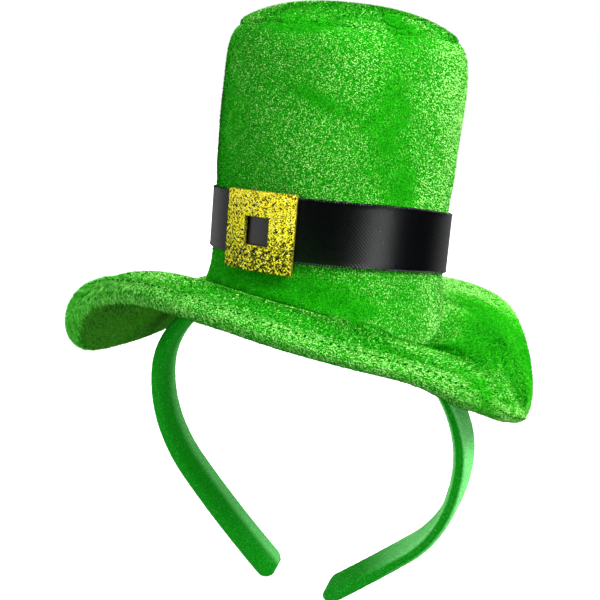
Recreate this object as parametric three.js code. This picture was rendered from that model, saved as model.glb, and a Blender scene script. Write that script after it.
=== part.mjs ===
// A mini top hat on a headband: a velvet crown and bent brim with a satin ribbon and a glitter buckle.
// Millimetres, +Z up. The origin is the head seat, the inner face of the headband at its highest point.
// The headband is square to the frame: its arch lies across X, the hat's front and its buckle face -Y.
import * as THREE from 'three';

// General sizes
const GAP = 0.3; // left between pieces that touch
const CLOTH = 2; // velvet on its stiff backing
const AROUND = 72; // steps round the hat

// Headband: half of its centreline is three arcs and a straight end, and it sweeps back towards its tips
const BAND_WIDTH = 12.7;
const BAND_THICK = 4.2;
const BAND_CORNER = 1.5; // rounding of the wrapped edges
const BAND_SWELL = { depth: 1.2, from: 10, to: 40 }; // thicker legs, between these drops
const BAND_ARCS = [
  { name: 'under the brim', radius: 123, angle: 16.8, steps: 5 },
  { name: 'shoulder', radius: 43.5, angle: 71.5, steps: 14 },
  { name: 'leg', radius: 69.6, angle: 40, steps: 8 },
];
const BAND_END = { length: 56.5, steps: 7 };
const BAND_SWEEP = 23.5; // how far back the band is, 100 mm below its top
const TIP_LENGTH = 4; // folded cloth at the cut ends
const TIP_SCALE = 0.72; // the end face against the full section

// The hat is perched on the band: turned a little, and leaning to one side
const HAT_LEAN = 6.3;
const HAT_TURN = 10.6;
const HAT_BACK = 2.9; // crown axis behind the middle of the band
const HAT_RISE = 21.4; // ribbon's lower edge above the band's centreline

// Crown: rows from the ribbon upwards, then the rounded shoulder to the seam of the top
const CROWN_RADIUS = 45;
const CROWN_FLARE = 1; // the foot of the crown spreads on the brim
const FOOT_ROUND = 2; // height over which the foot turns under
const CROWN_ROWS = [
  { height: -4, inset: 0.6 },
  { height: 22, inset: 0.6 },
  { height: 32, inset: -0.1 },
  { height: 52, inset: -0.2 },
  { height: 65, inset: 0 },
  { height: 71, inset: 0.4 },
  { height: 75, inset: 1.2 },
  { height: 78.5, inset: 2.6 },
  { height: 80.3, inset: 4.2 },
];
const SEAM_SLOPE = 2.5; // the top's seam dips towards the right of the front
const SEAM_LOW_SIDE = 42; // degrees from the front
const SEAM_BLEND = 40; // height above which the wall follows the seam's slope

// Top of the crown: a puffed disc with puckers at its seam
const TOP_RISE = 9.5;
const TOP_FULLNESS = 2.8; // power of the dome's outline
const TOP_SKEW = { share: 0.15, side: 50 }; // the dome is this much lower on one side
const TOP_ROWS = [0.12, 0.34, 0.55, 0.74, 0.88, 0.96, 1]; // shares of the radius
const PUCKERS = 11;
const PUCKER_DEPTH = 0.9;

// Ribbon and buckle
const RIBBON_WIDTH = 22;
const RIBBON_THICK = 0.8;
const RIBBON_SAG = [{ side: 122, spread: 38, size: -3.2 }]; // it has slipped down on one side
const BUCKLE_WIDTH = 28.7;
const BUCKLE_HEIGHT = 27.5;
const BUCKLE_THICK = 1.2;
const BUCKLE_MIDDLE = 9.2; // above the ribbon's lower edge
const WINDOW = 9.8;
const BUCKLE_STEPS = 8; // points along each side

// Brim: a padded disc bent down on both sides, along a line turned from the hat's own sides
const BRIM_LEVEL = -15; // its top at the crown's axis
const BRIM_WIDTH = 48; // from the crown to the hem, along the cloth
const BRIM_THICK = 4;
const PUFF_SIDE = -55; // degrees from the front where the padding is fullest
const TOP_PUFF = { least: 0, most: 3.4 }; // lift of the top between crown and hem
const HEM_SWELL = { least: 0.5, most: 5 }; // extra thickness of the hem's roll
const PUFF_POWER = 1.5; // moves the fullest place of the lift towards the hem
const BRIM_TRIM = [ // where the brim is cut wider or narrower
  { side: -50, spread: 14, size: 4.4 },
  { side: 138, spread: 14, size: -5 },
  { side: 160, spread: 12, size: -4 },
  { side: 72, spread: 8, size: 0.6 },
  { side: 84, spread: 6, size: -0.8 },
];
const HEM_DROOP = [{ side: 61, spread: 8, size: 2.4 }]; // a thicker hem at the right front
const DROOP_POWER = 4; // how much of it is near the hem
const SINK = { depth: 6, squeeze: 2.8, side: 80, power: 8, reach: 14 }; // the crown presses in on one side
const BEND_TURN = 16.2;
const BEND_REACH = 80; // distance from the axis at which the drops below are reached
const LEFT_DROP = { depth: 30.5, power: 3.3, twist: 4.8 };
const RIGHT_DROP = { depth: 21.8, power: 7.6, twist: 7.6 };
const SIDE_SLOPE = -6; // rise to the right at the bend's reach
const FRONT_LIFT = 2.2; // rise at the front, at the bend's reach
const BACK_LIFT = -2; // and at the back
const UNDER_CROWN = [0.1, 0.5, 0.9, 1]; // rows under the crown, as shares of its radius
const BRIM_ROWS = 9;
const HEM_ROWS = 3;
const CLOTH_STEPS = 6; // short steps in each row of the brim
const SLOPE_STEP = 0.5; // distance over which slopes are measured

const radians = THREE.MathUtils.degToRad;
const hatRadius = (inset) => CROWN_RADIUS - inset;

// A point at an angle from the front towards +X
function polar(radius, angle, z) {
  return new THREE.Vector3(radius * Math.sin(angle), -radius * Math.cos(angle), z);
}

function around(count, make) {
  return Array.from({ length: count }, (_, k) => make((2 * Math.PI * k) / count));
}

// A closed body through rings of points; its ends are capped, or the last ring joins the first
function skin(rings, joined) {
  const count = rings[0].length;
  const points = rings.flat();
  const index = [];
  const bands = joined ? rings.length : rings.length - 1;
  for (let i = 0; i < bands; i += 1) {
    const next = (i + 1) % rings.length;
    for (let j = 0; j < count; j += 1) {
      const k = (j + 1) % count;
      index.push(i * count + j, i * count + k, next * count + k);
      index.push(i * count + j, next * count + k, next * count + j);
    }
  }
  if (!joined) {
    for (const end of [0, rings.length - 1]) {
      const centre = rings[end].reduce((sum, p) => sum.add(p), new THREE.Vector3()).divideScalar(count);
      points.push(centre);
      for (let j = 0; j < count; j += 1) {
        const edge = [end * count + j, end * count + ((j + 1) % count)];
        index.push(...(end === 0 ? edge.reverse() : edge), points.length - 1);
      }
    }
  }
  const geometry = new THREE.BufferGeometry().setFromPoints(points);
  geometry.setIndex(volume(points, index) < 0 ? index.reverse() : index);
  geometry.computeVertexNormals();
  return geometry;
}

function volume(points, index) {
  let sum = 0;
  for (let i = 0; i < index.length; i += 3) {
    const [a, b, c] = [points[index[i]], points[index[i + 1]], points[index[i + 2]]];
    sum += a.dot(b.clone().cross(c)) / 6;
  }
  return sum;
}

// Headband: stations of one half, from the top to the tip, in the plane of the arch
function bandHalf() {
  const stations = [{ x: 0, z: 0, turn: 0 }];
  for (const arc of BAND_ARCS) {
    const start = stations.at(-1);
    for (let k = 1; k <= arc.steps; k += 1) {
      const turn = start.turn + (radians(arc.angle) * k) / arc.steps;
      const x = start.x + arc.radius * (Math.sin(turn) - Math.sin(start.turn));
      const z = start.z + arc.radius * (Math.cos(turn) - Math.cos(start.turn));
      stations.push({ x, z, turn });
    }
  }
  const bend = stations.at(-1);
  for (let k = 1; k <= BAND_END.steps; k += 1) {
    const along = (BAND_END.length * k) / BAND_END.steps;
    const x = bend.x + along * Math.cos(bend.turn);
    const z = bend.z - along * Math.sin(bend.turn);
    stations.push({ x, z, turn: bend.turn });
  }
  return stations;
}

// The wrapped strip's section: across its width, then through its thickness
function bandSection() {
  const shape = new THREE.Shape();
  const w = BAND_WIDTH / 2;
  const t = BAND_THICK / 2;
  const c = BAND_CORNER;
  shape.moveTo(w, -t + c);
  shape.lineTo(w, t - c);
  shape.quadraticCurveTo(w, t, w - c, t);
  shape.lineTo(-w + c, t);
  shape.quadraticCurveTo(-w, t, -w, t - c);
  shape.lineTo(-w, -t + c);
  shape.quadraticCurveTo(-w, -t, -w + c, -t);
  shape.lineTo(w - c, -t);
  shape.quadraticCurveTo(w, -t, w, -t + c);
  return shape.getPoints(2).slice(0, -1);
}

function bandRing(station, side, scale) {
  const drop = -station.z / 100;
  const lean = Math.atan((2 * BAND_SWEEP * drop) / 100);
  const middle = new THREE.Vector3(side * station.x, BAND_SWEEP * drop * drop, station.z);
  const outward = new THREE.Vector3(side * Math.sin(station.turn), 0, Math.cos(station.turn));
  const across = new THREE.Vector3(0, Math.cos(lean), Math.sin(lean));
  const thicker = THREE.MathUtils.smoothstep(-station.z, BAND_SWELL.from, BAND_SWELL.to);
  const swell = BAND_SWELL.depth * thicker;
  return bandSection().map((p) => middle.clone()
    .addScaledVector(across, p.x * scale)
    .addScaledVector(outward, (p.y > 0 ? p.y + swell : p.y) * scale));
}

function headband() {
  const half = bandHalf();
  const tip = half.at(-1);
  const fold = { ...tip };
  fold.x = tip.x + TIP_LENGTH * Math.cos(tip.turn);
  fold.z = tip.z - TIP_LENGTH * Math.sin(tip.turn);
  const right = half.map((station) => bandRing(station, 1, 1));
  right.push(bandRing(fold, 1, TIP_SCALE));
  const left = half.slice(1).map((station) => bandRing(station, -1, 1));
  left.push(bandRing(fold, -1, TIP_SCALE));
  return skin([...left.reverse(), ...right], false);
}

// Height of the brim's middle surface at a place measured from the crown's axis
function bend(x, y) {
  const turn = radians(BEND_TURN);
  const side = (x * Math.cos(turn) + y * Math.sin(turn)) / BEND_REACH;
  const fore = (-x * Math.sin(turn) + y * Math.cos(turn)) / BEND_REACH;
  const drop = side < 0 ? LEFT_DROP : RIGHT_DROP;
  const size = Math.abs(side);
  const lift = fore < 0 ? FRONT_LIFT : BACK_LIFT;
  return BRIM_LEVEL + SIDE_SLOPE * side + lift * fore * fore - sink(x, y, SINK.depth)
    - drop.depth * size ** drop.power + Math.sign(side) * drop.twist * size * fore;
}

// The hollow that the crown's foot makes, fading inwards and outwards
function sink(x, y, depth) {
  const radius = Math.hypot(x, y);
  const towards = Math.cos(Math.atan2(x, -y) - radians(SINK.side));
  const away = Math.max(radius - CROWN_RADIUS, 0) / SINK.reach;
  const inside = Math.min(radius / CROWN_RADIUS, 1);
  return depth * Math.max(towards, 0) ** SINK.power * inside ** 2 * Math.exp(-away);
}

function bendAt(angle, radius) {
  const point = polar(radius, angle, 0);
  point.z = bend(point.x, point.y);
  return point;
}

// The direction out of the brim's top
function bendNormal(point) {
  const step = SLOPE_STEP;
  const slopeX = (bend(point.x + step, point.y) - bend(point.x - step, point.y)) / (2 * step);
  const slopeY = (bend(point.x, point.y + step) - bend(point.x, point.y - step)) / (2 * step);
  return new THREE.Vector3(-slopeX, -slopeY, 1).normalize();
}

// A sum of smooth humps round the hat
function humps(places, angle) {
  return places.reduce((sum, place) => {
    const turn = angle - radians(place.side);
    const away = Math.atan2(Math.sin(turn), Math.cos(turn)) / radians(place.spread);
    return sum + place.size * Math.exp(-away * away);
  }, 0);
}

// Places along the cloth from the crown to the hem, worked out in short steps of equal length
function clothWay(angle, rows) {
  const step = (BRIM_WIDTH + humps(BRIM_TRIM, angle)) / (rows * CLOTH_STEPS);
  const way = [];
  let radius = CROWN_RADIUS;
  for (let k = 1; k <= rows * CLOTH_STEPS; k += 1) {
    const slope = (bendAt(angle, radius + step).z - bendAt(angle, radius).z) / step;
    radius += step / Math.hypot(1, slope);
    if (k % CLOTH_STEPS === 0) {
      way.push(bendAt(angle, radius));
    }
  }
  return way;
}

// A size that is fullest on the brim's puffed side
function padding(range, angle) {
  const share = (1 + Math.cos(angle - radians(PUFF_SIDE))) / 2;
  return range.least + (range.most - range.least) * share;
}

// How far the brim's top stands above its bent middle, from the crown (0) to the hem (1)
function puff(angle, share) {
  const lift = padding(TOP_PUFF, angle) * Math.sin(Math.PI * share ** PUFF_POWER);
  return lift + padding(HEM_SWELL, angle) * share;
}

// A place on the brim's top: lifted by the padding, and squeezed by the crown
function brimTop(point, lift) {
  return point.clone().addScaledVector(bendNormal(point), lift - sink(point.x, point.y, SINK.squeeze));
}

function brimMeridian(angle) {
  const inside = UNDER_CROWN.map((share) => bendAt(angle, CROWN_RADIUS * share));
  const outside = clothWay(angle, BRIM_ROWS);
  const top = [
    ...inside.map((p) => brimTop(p, 0)),
    ...outside.map((p, k) => brimTop(p, puff(angle, (k + 1) / BRIM_ROWS))),
  ];
  const droop = humps(HEM_DROOP, angle);
  const depth = (k) => BRIM_THICK + droop * ((k + 1) / BRIM_ROWS) ** DROOP_POWER;
  const under = [
    ...inside.map((p) => p.clone().addScaledVector(bendNormal(p), -BRIM_THICK)),
    ...outside.map((p, k) => p.clone().addScaledVector(bendNormal(p), -depth(k))),
  ];
  const hem = outside.at(-1);
  const normal = bendNormal(hem);
  const outward = hem.clone().sub(outside.at(-2)).normalize();
  const swell = padding(HEM_SWELL, angle);
  const half = (BRIM_THICK + swell + droop) / 2;
  const middle = hem.clone().addScaledVector(normal, swell - half);
  const rounding = Array.from({ length: HEM_ROWS }, (_, k) => {
    const turn = (Math.PI * (k + 1)) / (HEM_ROWS + 1);
    return middle.clone()
      .addScaledVector(normal, half * Math.cos(turn))
      .addScaledVector(outward, half * Math.sin(turn));
  });
  return [...top, ...rounding, ...under.reverse()];
}

function brim() {
  const meridians = around(AROUND, brimMeridian);
  const rings = meridians[0].map((_, row) => meridians.map((meridian) => meridian[row]));
  return skin(rings, false);
}

// How much the rows near the crown's top follow its sloping seam
function seamShift(angle, height) {
  const share = THREE.MathUtils.smoothstep(height, SEAM_BLEND, CROWN_ROWS.at(-1).height);
  return -SEAM_SLOPE * share * Math.cos(angle - radians(SEAM_LOW_SIDE));
}

// Outline of the crown's wall at one angle, from its foot on the brim to the seam
function wallOutline(angle, inward) {
  const footRadius = CROWN_RADIUS + CROWN_FLARE - FOOT_ROUND / 2 - inward;
  const foot = brimTop(bendAt(angle, footRadius), 0).z + GAP;
  const spread = CROWN_RADIUS + CROWN_FLARE - inward;
  const rows = CROWN_ROWS.map((row) => polar(
    hatRadius(row.inset) - inward,
    angle,
    row.height + seamShift(angle, row.height),
  ));
  return [polar(footRadius, angle, foot), polar(spread, angle, foot + FOOT_ROUND), ...rows];
}

function crownSide() {
  const meridians = around(AROUND, (angle) => [
    ...wallOutline(angle, 0),
    ...wallOutline(angle, CLOTH).reverse(),
  ]);
  const rings = meridians[0].map((_, row) => meridians.map((meridian) => meridian[row]));
  return skin(rings, true);
}

// The puffed top lies on the wall's rim, with a pucker where each gather meets the seam
function crownTop() {
  const { height: seamHeight, inset } = CROWN_ROWS.at(-1);
  const rim = hatRadius(inset);
  const surface = (share, angle, lift) => {
    const seam = seamHeight + share * seamShift(angle, seamHeight) + GAP;
    const gather = PUCKER_DEPTH * Math.cos(PUCKERS * angle) * share ** 3 * Math.sin(Math.PI * share);
    const dome = TOP_RISE * (1 - share ** TOP_FULLNESS);
    const lower = TOP_SKEW.share * share * Math.cos(angle - radians(TOP_SKEW.side));
    return polar(rim * share, angle, seam + dome * (1 - lower) + gather + lift);
  };
  const top = TOP_ROWS.map((share) => around(AROUND, (angle) => surface(share, angle, CLOTH)));
  const under = TOP_ROWS.map((share) => around(AROUND, (angle) => surface(share, angle, 0)));
  return skin([...top, ...under.reverse()], false);
}

function ribbonBand() {
  const inner = hatRadius(CROWN_ROWS[0].inset) + GAP;
  const outer = inner + RIBBON_THICK;
  const corners = [[inner, 0], [outer, 0], [outer, RIBBON_WIDTH], [inner, RIBBON_WIDTH]];
  const ring = (radius, z) => around(AROUND, (angle) => polar(radius, angle, z + humps(RIBBON_SAG, angle)));
  return skin(corners.map(([radius, z]) => ring(radius, z)), true);
}

// Points round a rectangle, starting at a corner
function rectangle(width, height) {
  const corners = [[-0.5, -0.5], [0.5, -0.5], [0.5, 0.5], [-0.5, 0.5]];
  return corners.flatMap((from, k) => {
    const to = corners[(k + 1) % 4];
    return Array.from({ length: BUCKLE_STEPS }, (_, i) => {
      const share = i / BUCKLE_STEPS;
      return {
        across: width * (from[0] + (to[0] - from[0]) * share),
        up: height * (from[1] + (to[1] - from[1]) * share),
      };
    });
  });
}

// A square frame curved round the ribbon
function buckle() {
  const back = hatRadius(CROWN_ROWS[0].inset) + RIBBON_THICK + 2 * GAP;
  const front = back + BUCKLE_THICK;
  const place = (p, radius) => polar(radius, p.across / back, BUCKLE_MIDDLE + p.up);
  const outline = rectangle(BUCKLE_WIDTH, BUCKLE_HEIGHT);
  const hole = rectangle(WINDOW, WINDOW);
  return skin([
    outline.map((p) => place(p, back)),
    outline.map((p) => place(p, front)),
    hole.map((p) => place(p, front)),
    hole.map((p) => place(p, back)),
  ], true);
}

function piece(name, geometry, color, roughness, metalness) {
  const mesh = new THREE.Mesh(geometry, new THREE.MeshStandardMaterial({ color, roughness, metalness }));
  mesh.name = name;
  return mesh;
}

const VELVET = 0x2f9a24;
const hat = new THREE.Group();
hat.position.set(0, HAT_BACK, HAT_RISE);
hat.add(
  piece('brim', brim(), VELVET, 0.9, 0),
  piece('crown_side', crownSide(), VELVET, 0.9, 0),
  piece('crown_top', crownTop(), VELVET, 0.9, 0),
  piece('ribbon_band', ribbonBand(), 0x0c0d10, 0.45, 0),
  piece('buckle', buckle(), 0xb9a53a, 0.4, 0.5),
);

const perch = new THREE.Group();
perch.rotation.set(0, -radians(HAT_LEAN), -radians(HAT_TURN), 'YZX');
perch.add(hat);

const whole = new THREE.Group();
whole.position.set(0, 0, BAND_THICK / 2);
whole.add(piece('headband', headband(), 0x0f7d1a, 0.85, 0), perch);

export default whole;
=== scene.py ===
"""A mini top hat on a headband: velvet crown and bent brim, satin ribbon, glitter buckle.

Sizes are in millimetres and angles in degrees, and meshes are made in metres. Angles round the hat run
from its front towards +X. The hat's own frame has its origin on the crown's axis, level with the ribbon's
lower edge.
"""
import math

import bpy
import numpy as np
from mathutils import Matrix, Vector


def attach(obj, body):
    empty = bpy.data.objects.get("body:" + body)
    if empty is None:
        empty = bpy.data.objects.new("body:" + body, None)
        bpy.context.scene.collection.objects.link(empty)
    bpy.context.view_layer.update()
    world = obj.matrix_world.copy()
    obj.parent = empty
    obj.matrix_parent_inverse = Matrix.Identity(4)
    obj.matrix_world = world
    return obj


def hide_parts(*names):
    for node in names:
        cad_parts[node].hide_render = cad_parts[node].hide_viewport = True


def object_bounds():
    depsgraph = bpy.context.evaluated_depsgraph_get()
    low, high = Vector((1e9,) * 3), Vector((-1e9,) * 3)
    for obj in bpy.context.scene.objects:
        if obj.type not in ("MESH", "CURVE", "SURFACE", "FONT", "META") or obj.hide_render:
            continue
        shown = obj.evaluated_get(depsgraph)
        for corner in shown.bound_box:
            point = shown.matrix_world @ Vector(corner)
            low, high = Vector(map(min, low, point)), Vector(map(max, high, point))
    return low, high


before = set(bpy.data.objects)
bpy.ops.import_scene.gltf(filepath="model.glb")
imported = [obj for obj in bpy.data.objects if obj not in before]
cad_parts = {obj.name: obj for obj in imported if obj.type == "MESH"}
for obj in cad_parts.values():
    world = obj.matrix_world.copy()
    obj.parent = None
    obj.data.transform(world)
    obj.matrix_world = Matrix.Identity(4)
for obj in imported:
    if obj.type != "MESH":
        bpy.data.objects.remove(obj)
cad_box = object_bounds()

MM = 0.001
SEED = 7

# Headband
BAND_WIDTH = 12.7
BAND_THICK = 4.2
BAND_CORNER = 1.5
BAND_SWELL = (1.2, 10, 40)  # the legs are thicker: how much, and between which drops
BAND_ARCS = ((123, 16.8), (43.5, 71.5), (69.6, 40))  # radius and angle of each arc, from the top
BAND_END = 56.5
BAND_CENTRE = 62  # how far the middle of the arch is below its top
BAND_SWEEP = 23.5  # how far back the band is, 100 mm below its top
TIP_LENGTH = 4
TIP_SCALE = 0.72

# How the hat is perched on the band
HAT_LEAN = 6.3
HAT_TURN = 10.6
HAT_BACK = 2.9
HAT_RISE = 21.4

# Crown: height above the ribbon's lower edge, and how far the wall stands in from the radius
CLOTH = 2
GAP = 0.3
CROWN_RADIUS = 45
CROWN_FLARE = 1
FOOT_HEIGHT = 2  # of the straight foot
CROWN_ROWS = (
    (-4, 0.6), (22, 0.6), (32, -0.1), (52, -0.2), (65, 0), (71, 0.4), (75, 1.2), (78.5, 2.6), (80.3, 4.2),
)
SEAM_SLOPE = 2.5
SEAM_LOW_SIDE = 42
SEAM_BLEND = 40
TOP_SHIFT = (0.6, 123)  # how far the top leans over, and to which side
SEAM_HEIGHT, SEAM_INSET = CROWN_ROWS[-1]
TOP_RISE = 9.5
TOP_SKEW = (0.15, 50)  # the dome is this much lower on one side, and on which
TOP_FULLNESS = 2.8  # the dome is flatter in its middle and steeper at its rim as this grows
TOP_EDGE = 0.94  # the share of the radius where the top's edge starts to turn down into the seam
TOP_TUCK = 0.7  # how far the top's edge is tucked into its seam
TOP_DENTS = (  # angle, share of the radius, width and depth of the gathers along the top's seam
    (3, 0.98, 3.0, 1.4), (12, 0.98, 3.4, 2.2), (21, 0.98, 3.0, 1.5), (57, 0.88, 4.0, 2.4),
    (81, 0.96, 4.0, 1.5), (118, 0.97, 4.0, 1.3), (160, 0.96, 3.5, 1.5), (205, 0.98, 5.0, 1.4),
    (246, 0.95, 3.2, 1.4), (288, 0.97, 4.0, 1.5), (327, 0.96, 3.2, 1.2),
)
TOP_MIDDLE = 0.0005  # the share of the radius where the top's innermost ring is
WALL_DENT = 0.35  # how deep the wall's soft dents are
PILE_ROOM = 0.35  # how far the cloth stands inside its solid, to leave room for the pile

# Ribbon and buckle
RIBBON_WIDTH = 22
RIBBON_THICK = 0.8
RIBBON_ROUND = 0.5  # how far from its edges the ribbon starts to thin
RIBBON_SAG = ((122, 38, -3.2),)  # angle, spread and rise where it has slipped down
BUCKLE_WIDTH = 28.7
BUCKLE_HEIGHT = 27.5
BUCKLE_THICK = 1.2
BUCKLE_MIDDLE = 9.2
WINDOW = 9.8
SELVEDGE_IN = 0.35  # how far the woven edges' loops are from the ribbon's edge

# Brim
BRIM_LEVEL = -15
BRIM_WIDTH = 48
BRIM_THICK = 4
PUFF_SIDE = -55
TOP_PUFF = (0, 3.4)
HEM_SWELL = (0.5, 5)
BRIM_TRIM = (  # angle, spread and change of the brim's width
    (-50, 14, 4.4), (138, 14, -5.0), (160, 12, -4.0), (72, 8, 0.6), (84, 6, -0.8),
)
HEM_DROOP = ((61, 8, 2.4),)  # angle, spread and depth of the places where the hem hangs thicker
DROOP_POWER = 4
SINK_DEPTH, SINK_SQUEEZE, SINK_SIDE, SINK_POWER, SINK_REACH = 6, 2.8, 80, 8, 14
BEND_TURN = 16.2
BEND_REACH = 80
LEFT_DROP = (30.5, 3.3, 4.8)  # depth, power and twist of the bend
RIGHT_DROP = (21.8, 7.6, 7.6)
SIDE_SLOPE = -6
FRONT_LIFT = 2.2
BACK_LIFT = -2
BRIM_RIPPLE = 0.5
HEM_ROWS = 12
STITCH_ROW = 2  # which row of the hem's roll the stitches follow
STITCH_LIFT = 0.55
STITCH_SLANT = 0.5
RIDGES = ((50, 9, 2.0),)  # angle, spread and height of the folds that hide the crown's foot
RIDGE_AT, RIDGE_WIDTH = 53, 6
LOBE_CREASE = (-60, -5, 88, 2.2, 1.1)  # from and to which angle, radius, width and depth

# Colours, in linear light
VELVET_DEEP = (0.001, 0.18, 0.001)
VELVET_MID = (0.088, 0.52, 0.022)
VELVET_PALE = (0.44, 0.98, 0.24)
VELVET_SHEEN = (0.08, 1, 0.04)
CLOTH_GREEN = (0.026, 0.51, 0.007)
LINING_GREEN = (0.035, 0.24, 0.006)
LINING_FLECK = (0.16, 0.6, 0.05)
STITCH_GREEN = (0.001, 0.03, 0.001)
BAND_GREEN = (0.003, 0.37, 0.006)
# the band's pale colour is painted light and painted sheen on its lit faces
BAND_LIT_PALE = (0.25, 0.95, 0.27)
BAND_SHEEN = (0.6, 1, 0.65)
SATIN_BLACK = (0.0008, 0.001, 0.0015)
SELVEDGE_GREY = (0.16, 0.17, 0.18)
GOLD = (1.0, 0.84, 0.03)
# painted glints on a few bright flakes
GOLD_GLINT = (1, 1, 0.45)
GOLD_GAP = (0.014, 0.014, 0.001)

# Pile: how the fibres differ in shade
FLECK = 1.2
FLECK_CONTRAST = 1.8
MID_SHADE = 0.53
LEAST_SHADE = 0.04
LEAST_FLECK = 0.08
BROAD_PATCHES = 0.05
SMALL_PATCHES = 0.03
BRUSHED_LINES = 0.05
BRUSH_SLANT = 40  # which way the brushed lines slant, from level
BRUSH_STRETCH = 5  # how much longer than wide they are
DARK_PILE_HUE = 0.45  # the share of red and blue left where the pile is darkened, by crush marks and by painted shade
DARK_PILE_SHADES = (0.1, 0.42)  # the shades between which red and blue come back
BAND_FLECK = 0.3
UNDER_SHADE = 0.22
UNDER_PATCHES = 0.1
UNDER_FLECK = 0.3
ROOT_TO_TIP = (0.65, 0.65, 1.2)  # painted shade at a blade's two roots and painted light at its tip
SPARKLE = 0.25  # how much the fibres differ in how they face

# The hem's pile
HEM_LOBE = ((-35, 38, 1),)  # angle, spread and share of the hem with a pale fringe
HEM_CREASE_SHADOW = ((-10, 16, 1),)  # and of the painted shadow in the crease above it
HEM_STRANDS = ((-30, 30, 1.5),)  # angle, spread and extra length of its strands
HEM_LENGTH = 0.75
HEM_TUFTS = (0.7, 1.6)  # how pale the tufts are, and how much they differ
CREASE_SHADOW = (0.08, 0.12, 0.7)  # how far round the hem the crease's painted shadow is, its width and its depth
FRINGE_SHADE = (0.45, 0.4)  # how much paler the fringe is at its top, and how much more below: its own pale strands, with painted light added
HEM_SHADOW = 0.3
LOBE_HUE = 0.6  # the share of red and blue taken away on the lobe

# Blades of the pile: length, width, lean from upright and how much they stray from the nap
CROWN_BLADE = (0.65, 0.42, 56, 0.55)
BRIM_BLADE = (0.7, 0.42, 56, 0.55)
UNDER_BLADE = (0.7, 0.4, 62, 0.55)
BAND_BLADE = (0.55, 0.36, 62, 0.55)
HEM_BLADE = (0.26, 66, 0.4)  # without its length, which changes along the hem
LEAN_SPREAD = 14
BLADE_TWIST = 0.35
BLADE_LENGTHS = (0.65, 1.25)  # shortest and longest, as shares of the length
ROOT_DEPTH = 0.1

# How many blades each surface has
CROWN_BLADES = 198000
TOP_BLADES = 58000
BRIM_BLADES = 196000
HEM_BLADES = 90000
UNDER_BLADES = 70000
BAND_BLADES = 80000

# Places where crush marks make the crown's pile darker (below 0) or lighter, and where painted shade and
# painted light stand for how the light falls on it
CROWN_MARKS = (  # angle, height, half-width, half-height, slope and change
    (-50, 45, 28, 60, 0, -0.5),  # the painted shade of the dark left side
    (10, 78.3, 12, 2.4, 0, -0.7),  # the shadow under the seam's gathers
    (58, 82, 4.5, 3.5, 0, -0.9),  # painted shade in the dimple at the front of the top
    (72, 79, 10, 2.5, 0, -0.3),  # painted shade in the seam beside it
    (88, 81, 10, 2.2, 0, -0.4),
    (45, 90, 200, 5, 0, 0.1),  # painted light on the top
    (24, 54, 13, 4, -0.35, -0.4),  # the slanting band across the middle
    (55, 50, 10, 32, 0, -0.36),  # the stripe down the right
    (68, 28, 6, 9, 0, -0.4),
    (42, 66, 8, 6, 0, 0.12),  # pale patches
    (15, 38, 14, 11, 0, 0.2),
    (89, 45, 14, 60, 0, 0.38),  # painted light and sheen on the bright right side
    (-12, -8, 30, 9, 0, -0.38),  # the shadows below the ribbon
    (28, -10, 13, 7, 0, -0.4),
    (50, -14, 12, 6, 0, -0.4),
    (88, -6, 13, 14, 0, 0.28),  # painted light on the bright foot at the right
    (150, 60, 14, 12, 0.4, -0.2),  # marks like these at the back
    (195, 38, 12, 10, 0, 0.15),
    (240, 58, 10, 16, -0.4, 0.12),
    (282, 40, 12, 14, 0.3, -0.15),
)

# And the same on the brim: crush marks, and painted shade on its dark right side
BRIM_MARKS = (  # angle, radius, half-width, half-depth and change
    (51, 49.5, 7, 3, 0.5),  # the bright fold beside the crown's foot
    (22, 50, 24, 5, 0.2),  # the pale pile in front of the foot
    (105, 64, 60, 14, -0.5),  # painted shade on the dark right side, where the nap leans away from the light
    (75, 58, 14, 10, -0.15),
    (125, 84, 40, 10, -0.36),
    (-50, 75, 30, 10, -0.2),  # the left lobe
    (66, 90, 12, 10, -0.28),  # the right corner of the hem
    (80, 86, 9, 7, -0.15),
    (170, 70, 20, 12, 0.12),  # marks like these at the back
    (230, 72, 24, 12, -0.15),
)

# The band's cover: where the painted light on the right leg's faces fades, and how pale the painted sheen of
# the strip behind the left leg is
LIT_FACE_FADE = (-80, -115)
SHEEN_STRIP = 0.8

# Glitter: how thick the flakes lie, how they tilt, and the size of the dark worms between them
FLAKE_COUNT = 11000
FLAKE_SIZE = 0.42
FLAKE_TILT = 0.3
FLAKE_MARGIN = 0.15  # how far they stay from the buckle's edges
FLAKE_LOSS = 0.3  # the share that is missing in the lower half
WORM_SIZE = 0.95
WORM_EDGE = (-0.68, -0.5)
LOW_DULLNESS = 0.7
# the share of the brightest flakes that carry a painted glint
GLINT_SHARE = 0.06

# The photograph's view: where the camera is, what it looks at, its roll and its lens
CAMERA_AT = (117.7, -308.6, 74.0)
CAMERA_AIM = (-8.1, -0.8, 2.9)
CAMERA_ROLL = 10.76
CAMERA_LENS = 52.3

# Light from all round, from below and from above
AMBIENT_LOW = 0.82
AMBIENT_HIGH = 1.05
AMBIENT_GLOSS = 0.008  # the share of it that glossy surfaces mirror

# Lamps, and white cards that show only in glossy surfaces: place, size and power, in metres and watts
LAMP_AIM = (0, 0, 0.02)
LAMPS = {
    "key": ((0.62, -0.25, 0.80), (0.5, 0.6), 20),
    "top": ((-0.1, -0.3, 0.95), (0.6, 0.6), 3),
    "fill": ((-0.82, -0.3, 0.0), (0.5, 0.5), 2.2),
}
CARD_AIM = (0, 0, 0.03)
CARDS = {
    "strip": ((0.795, -0.42, -0.12), (0.26, 0.5), 3.8),
    "card_right": ((0.23, 0.87, -0.12), (0.8, 0.5), 0.4),
    "card_front": ((-0.66, -0.61, -0.12), (0.9, 0.5), 3),
    "card_left": ((-0.85, 0.31, -0.12), (0.8, 0.5), 0.6),
}
FLOOR_REACH = 6
FLOOR_DROP = 0.001


# Numbers and noise

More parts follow.
